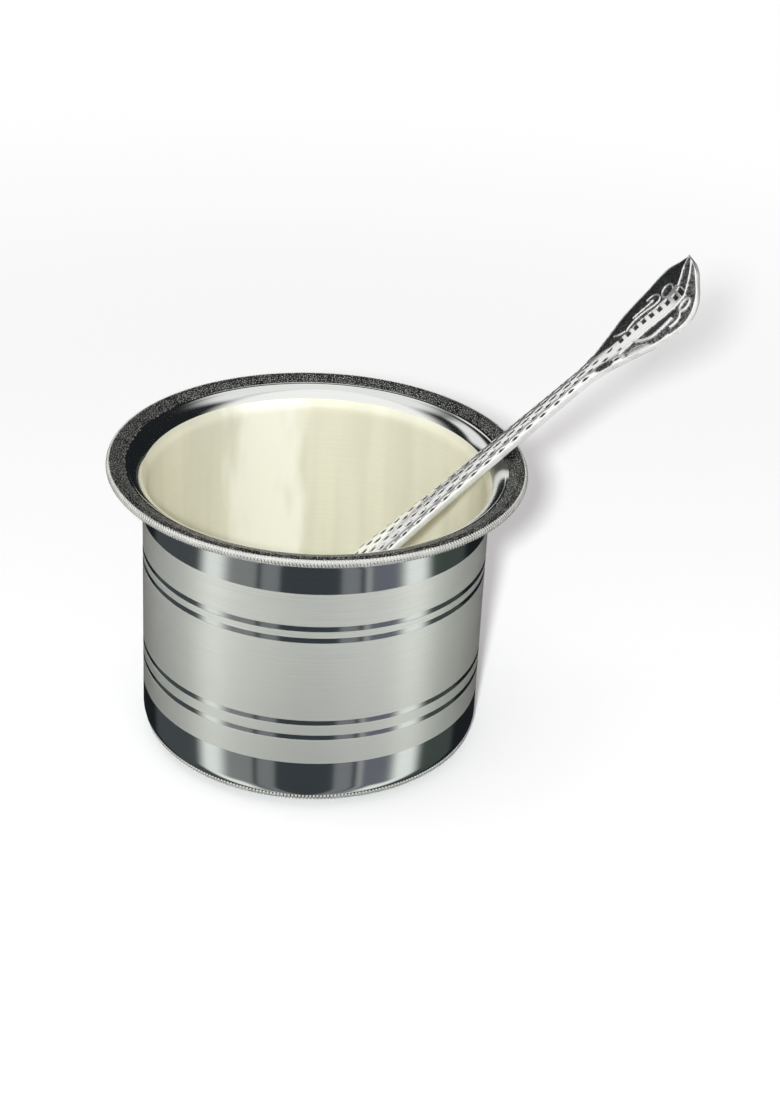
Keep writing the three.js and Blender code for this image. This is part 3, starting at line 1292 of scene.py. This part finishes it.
    def lean(self, pot: Pot) -> tuple[float, float]:
        """How the spoon rests: its dish on the pot's floor and the edge of its stem on the flare.

        Args:
            pot: The pot that it stands in.

        Returns:
            The lean in radians, and the height of its tip.
        """
        reach = math.sqrt(pot.flare_centre[0] ** 2 - (self.aside + self.stem_half) ** 2)
        floor = pot.base_step + pot.sheet + self.rest_clearance
        half = self.bowl_length / 2
        tip_reach = pot.heel_centre[0] - self.tip_inset

        def tip_height(lean: float) -> float:
            """The tip's height at a lean."""
            low = math.hypot(half * math.sin(lean), self.bowl_depth * math.cos(lean))
            return floor + low - half * math.sin(lean)

        low, high = 0.0, math.pi / 2
        for _ in range(40):
            middle = (low + high) / 2
            rise = (pot.flare_centre[1] - tip_height(middle)) * math.cos(middle)
            run = (reach + tip_reach) * math.sin(middle)
            if rise - run + self.strip / 2 + pot.flare_radius + self.rest_clearance > 0:
                low = middle
            else:
                high = middle
        return low, tip_height(low)

    def stand(self, shape: Shape, pot: Pot) -> Shape:
        """Places a shape where the spoon stands in the pot.

        Args:
            shape: The shape, in the spoon's own frame.
            pot: The pot.

        Returns:
            The same shape, moved.
        """
        lean, tip = self.lean(pot)
        seat = Vector((self.tip_inset - pot.heel_centre[0], -self.aside, tip))
        place = Matrix.Rotation(math.radians(self.turn), 4, "Z") @ Matrix.Translation(seat)
        place = place @ Matrix.Rotation(-lean, 4, "Y")
        turn = np.array(place.to_3x3())
        shape.points = shape.points @ turn.T + np.array(place.translation)
        return shape

    def build(self, pot: Pot) -> list[Piece]:
        """Builds and dresses both pieces of the spoon.

        Args:
            pot: The pot that it stands in.

        Returns:
            The pieces.
        """
        shape, darkness = self.handle_shape()
        handle = self.stand(shape, pot).piece("snake_handle", 60)
        layer = handle.data.attributes.new(Finish.STRUCK.value.recess_and_painted_shade, "FLOAT", "POINT")
        layer.data.foreach_set("value", darkness.astype(np.float32))
        dress(handle, Finish.STRUCK, Finish.FILED)
        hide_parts("spoon_handle")
        dish = self.stand(self.dish_shape(), pot).piece("spoon_dish")
        dress(dish, Finish.DISH)
        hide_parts("spoon_bowl")
        return [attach(handle, "spoon"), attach(dish, "spoon")]


@dataclass(frozen=True)
class Panel:
    """A card or lamp that polished metal mirrors, in degrees right of the camera and above the table."""

    azimuth: float
    half_width: float
    low: float
    high: float
    tone: Colour
    soft: float = 3.0
    fade: float = 3.0

    def share(self, azimuth: Grid, elevation: Grid) -> Grid:
        """How far each direction lies in the panel, from 0 to 1."""
        off = np.abs((azimuth - self.azimuth + 180) % 360 - 180)
        wide = 1 - smoothstep(off, self.half_width - self.soft / 2, self.half_width + self.soft / 2)
        ends = ((end - self.fade, end + self.fade) for end in (self.low, self.high))
        return wide * between(elevation, *ends)


WHITE = (1.0, 1.0, 1.0, 1.0)


@dataclass
class Studio:
    """The pale floor, the soft light, the cards that the metal mirrors, and the camera."""

    eye: Triple = (0.01170, -0.30820, 0.19992)
    right: Triple = (0.99855, 0.02594, 0.04707)
    back: Triple = (0.0, -0.8758, 0.4827)
    lens: float = 73.75
    clip_start: float = 0.01
    floor_half: float = 3.0
    floor_colour: Colour = (0.98, 0.98, 0.98)
    clear_from: float = 60.0
    clear_to: float = 330.0
    white: float = 1.06
    ambient: Colour = (0.37, 0.345, 0.35)
    sky_share: float = 0.17
    sky_elevation: float = 68.0
    sky_azimuth: float = 125.0
    sky_spread: float = 60.0
    side_left: float = 16.0
    side_up: float = 6.0
    side_radius: float = 10.0
    dome_radius: float = 1.5
    dome_columns: int = 360
    dome_rows: int = 90
    dark: Colour = (0.012, 0.014, 0.016)
    panels: tuple[Panel, ...] = (
        Panel(-104, 24, -90, 4, (0.056, 0.064, 0.068), 8),
        Panel(99, 21, -90, 4, (0.050, 0.064, 0.058), 8),
        Panel(-48, 16, -90, 4, (0.20, 0.21, 0.21), 10),
        Panel(1, 19, -90, 4, (0.040, 0.048, 0.054), 5),
        Panel(-26, 6.5, -90, 4, (0.18, 0.19, 0.195), 3),
        Panel(27, 6.5, -90, 4, (0.18, 0.19, 0.20), 3),
        Panel(39, 2.5, -90, 4, (0.33, 0.34, 0.34), 2.5),
        Panel(51, 9.5, -90, 4, (0.13, 0.135, 0.165), 6),
        Panel(-33.8, 1.3, -90, 4, (0.02, 0.025, 0.03), 1.6),
        Panel(35, 1.2, -90, 4, (0.02, 0.025, 0.03), 1.6),
        Panel(-67, 9, -90, 6, (0.76, 0.80, 0.77), 12),
        Panel(73, 10, -90, 6, (0.78, 0.82, 0.79), 12),
        Panel(-58, 14, -66, -44, (0.80, 0.84, 0.80), 8, 6),
        Panel(63, 14, -66, -44, (0.80, 0.84, 0.80), 8, 6),
        Panel(-4, 84, 4, 100, (1.0, 1.0, 0.98), 30, 9),
        Panel(180, 100, 56, 100, (0.86, 0.87, 0.85), 30, 6),
        Panel(-131, 14, 22, 50, (0.85, 0.85, 0.84), 8, 4),
    )

    def build_floor(self) -> Piece:
        """Lays the floor. For the camera it passes into plain white away from the object and its shadow."""
        half = self.floor_half / MM
        corners = np.array([(-half, -half, 0), (half, -half, 0), (half, half, 0), (-half, half, 0)], float)
        floor = Shape(corners, [(0, 1, 2, 3)]).piece("floor")
        recipe = Recipe("studio_floor")
        x, y, _ = recipe.place()
        seen = Value(recipe, recipe.node("ShaderNodeLightPath", out="Is Camera Ray"))
        clear = radius_of(x, y).smooth(self.clear_from, self.clear_to) * seen
        paint = recipe.node("ShaderNodeBsdfDiffuse", {"Color": (*self.floor_colour, 1.0)})
        glow = recipe.node("ShaderNodeEmission", {"Color": WHITE, "Strength": 1.0})
        mixed = recipe.node("ShaderNodeMixShader", {0: clear, 1: paint, 2: glow})
        floor.data.materials.append(recipe.surface(mixed))
        floor.visible_glossy = False
        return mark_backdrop(floor)

    def build_dome(self) -> Piece:
        """Hangs the cards round the object. Only reflections see them."""
        azimuth = np.linspace(0, 360, self.dome_columns, endpoint=False)
        elevation = np.linspace(-90, 90, self.dome_rows + 1)
        up, around = np.meshgrid(np.radians(elevation), np.radians(azimuth), indexing="ij")
        radius = self.dome_radius / MM
        flat = radius * np.cos(up)
        points = np.stack([flat * np.sin(around), -flat * np.cos(around), radius * np.sin(up)], axis=-1)
        faces = [(a, d, c, b) for a, b, c, d in tube_faces(self.dome_rows + 1, self.dome_columns)]
        dome = Shape(points.reshape(-1, 3), faces).piece("studio_cards")
        tone = np.tile(np.array(self.dark), (*up.shape, 1))
        for panel in self.panels:
            share = panel.share(np.degrees(around), np.degrees(up))[..., None]
            tone = tone * (1 - share) + np.array(panel.tone) * share
        colours = np.concatenate([tone, np.ones((*up.shape, 1))], axis=-1)
        layer = dome.data.color_attributes.new("tone", "FLOAT_COLOR", "POINT")
        layer.data.foreach_set("color", colours.astype(np.float32).reshape(-1))
        recipe = Recipe("studio_card")
        tones = recipe.node("ShaderNodeAttribute", out="Color", attribute_name="tone")
        glow = recipe.node("ShaderNodeEmission", {"Color": tones, "Strength": 1.0})
        dome.data.materials.append(recipe.surface(glow))
        for ray in ("camera", "diffuse", "shadow", "transmission", "volume_scatter"):
            setattr(dome, "visible_" + ray, False)
        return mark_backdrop(dome)

    def build_room(self) -> None:
        """Sets the even light of the room. The camera and mirrors would see plain white there."""
        world = bpy.data.worlds.new("studio")
        bpy.context.scene.world = world
        world.use_nodes = True
        tree = Tree(world.node_tree)
        path = tree.node("ShaderNodeLightPath", out=None)
        rays = {0: path["Is Camera Ray"], 1: path["Is Glossy Ray"]}
        seen = tree.node("ShaderNodeMath", rays, operation="MAXIMUM")
        room = tree.node("ShaderNodeBackground", {"Color": (*self.ambient, 1.0)})
        white = tree.node("ShaderNodeBackground", {"Color": WHITE})
        tree.close("ShaderNodeOutputWorld", tree.node("ShaderNodeMixShader", {0: seen, 1: room, 2: white}))

    def build_lamps(self) -> None:
        """Hangs a large soft lamp high on the left, and sets a small one just beside the camera.

        Together with the room they light the table plain white. The small one draws the narrow shadow
        along the object's right side. Its light doesn't fade with distance.
        """
        rest = [self.white - part for part in self.ambient]
        lift = math.radians(self.sky_elevation)
        around = math.radians(self.sky_azimuth)
        flat = math.cos(lift)
        towards = Vector((math.cos(around) * flat, math.sin(around) * flat, math.sin(lift)))
        sky = bpy.data.lights.new("sky_lamp", "SUN")
        sky.angle = math.radians(self.sky_spread)
        sky.energy = self.sky_share * math.pi / math.sin(lift)
        side = bpy.data.lights.new("camera_lamp", "POINT")
        side.shadow_soft_size = self.side_radius * MM
        away = Vector(self.eye)
        drop = away.z / away.length
        side.energy = 4 * math.pi**2 * (max(rest) - self.sky_share) / drop
        side.use_nodes = True
        tree = Tree(side.node_tree)
        even = tree.node("ShaderNodeLightFalloff", {"Strength": 1.0}, "Constant")
        tree.close("ShaderNodeOutputLight", tree.node("ShaderNodeEmission", {"Strength": even}))
        for lamp in (sky, side):
            lamp.color = [part / max(rest) for part in rest]
            placed(lamp.name, lamp).visible_glossy = False
        right, up, _ = self.camera_axes()
        bpy.data.objects[sky.name].rotation_euler = towards.to_track_quat("Z", "Y").to_euler()
        bpy.data.objects[side.name].location = away - right * self.side_left * MM + up * self.side_up * MM

    def camera_axes(self) -> tuple[Vector, Vector, Vector]:
        """The camera's right, up and backward directions."""
        right = Vector(self.right).normalized()
        back = (Vector(self.back) - right * right.dot(Vector(self.back))).normalized()
        return right, back.cross(right), back

    def build_camera(self) -> None:
        """Sets the camera at the photograph's viewing angle."""
        turn = Matrix(self.camera_axes()).transposed().to_4x4()
        data = bpy.data.cameras.new("camera")
        data.lens = self.lens
        data.clip_start = self.clip_start
        camera = placed("camera", data)
        camera.matrix_world = Matrix.Translation(Vector(self.eye)) @ turn
        bpy.context.scene.camera = camera

    def build(self) -> None:
        """Builds the studio."""
        bpy.context.scene.view_settings.view_transform = "Standard"
        self.build_camera()
        self.build_room()
        self.build_lamps()
        self.build_floor()
        self.build_dome()


def main() -> None:
    """Builds the studio, the pot and the spoon, and reports each piece."""
    logging.basicConfig(level=logging.INFO, format="%(message)s")
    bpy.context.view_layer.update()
    Studio().build()
    pot = Pot()
    pieces = [*pot.build(), *Spoon().build(pot)]
    for piece in pieces:
        LOG.info("%s: %d faces", piece.name, len(piece.data.polygons))


if __name__ == "__main__":
    main()
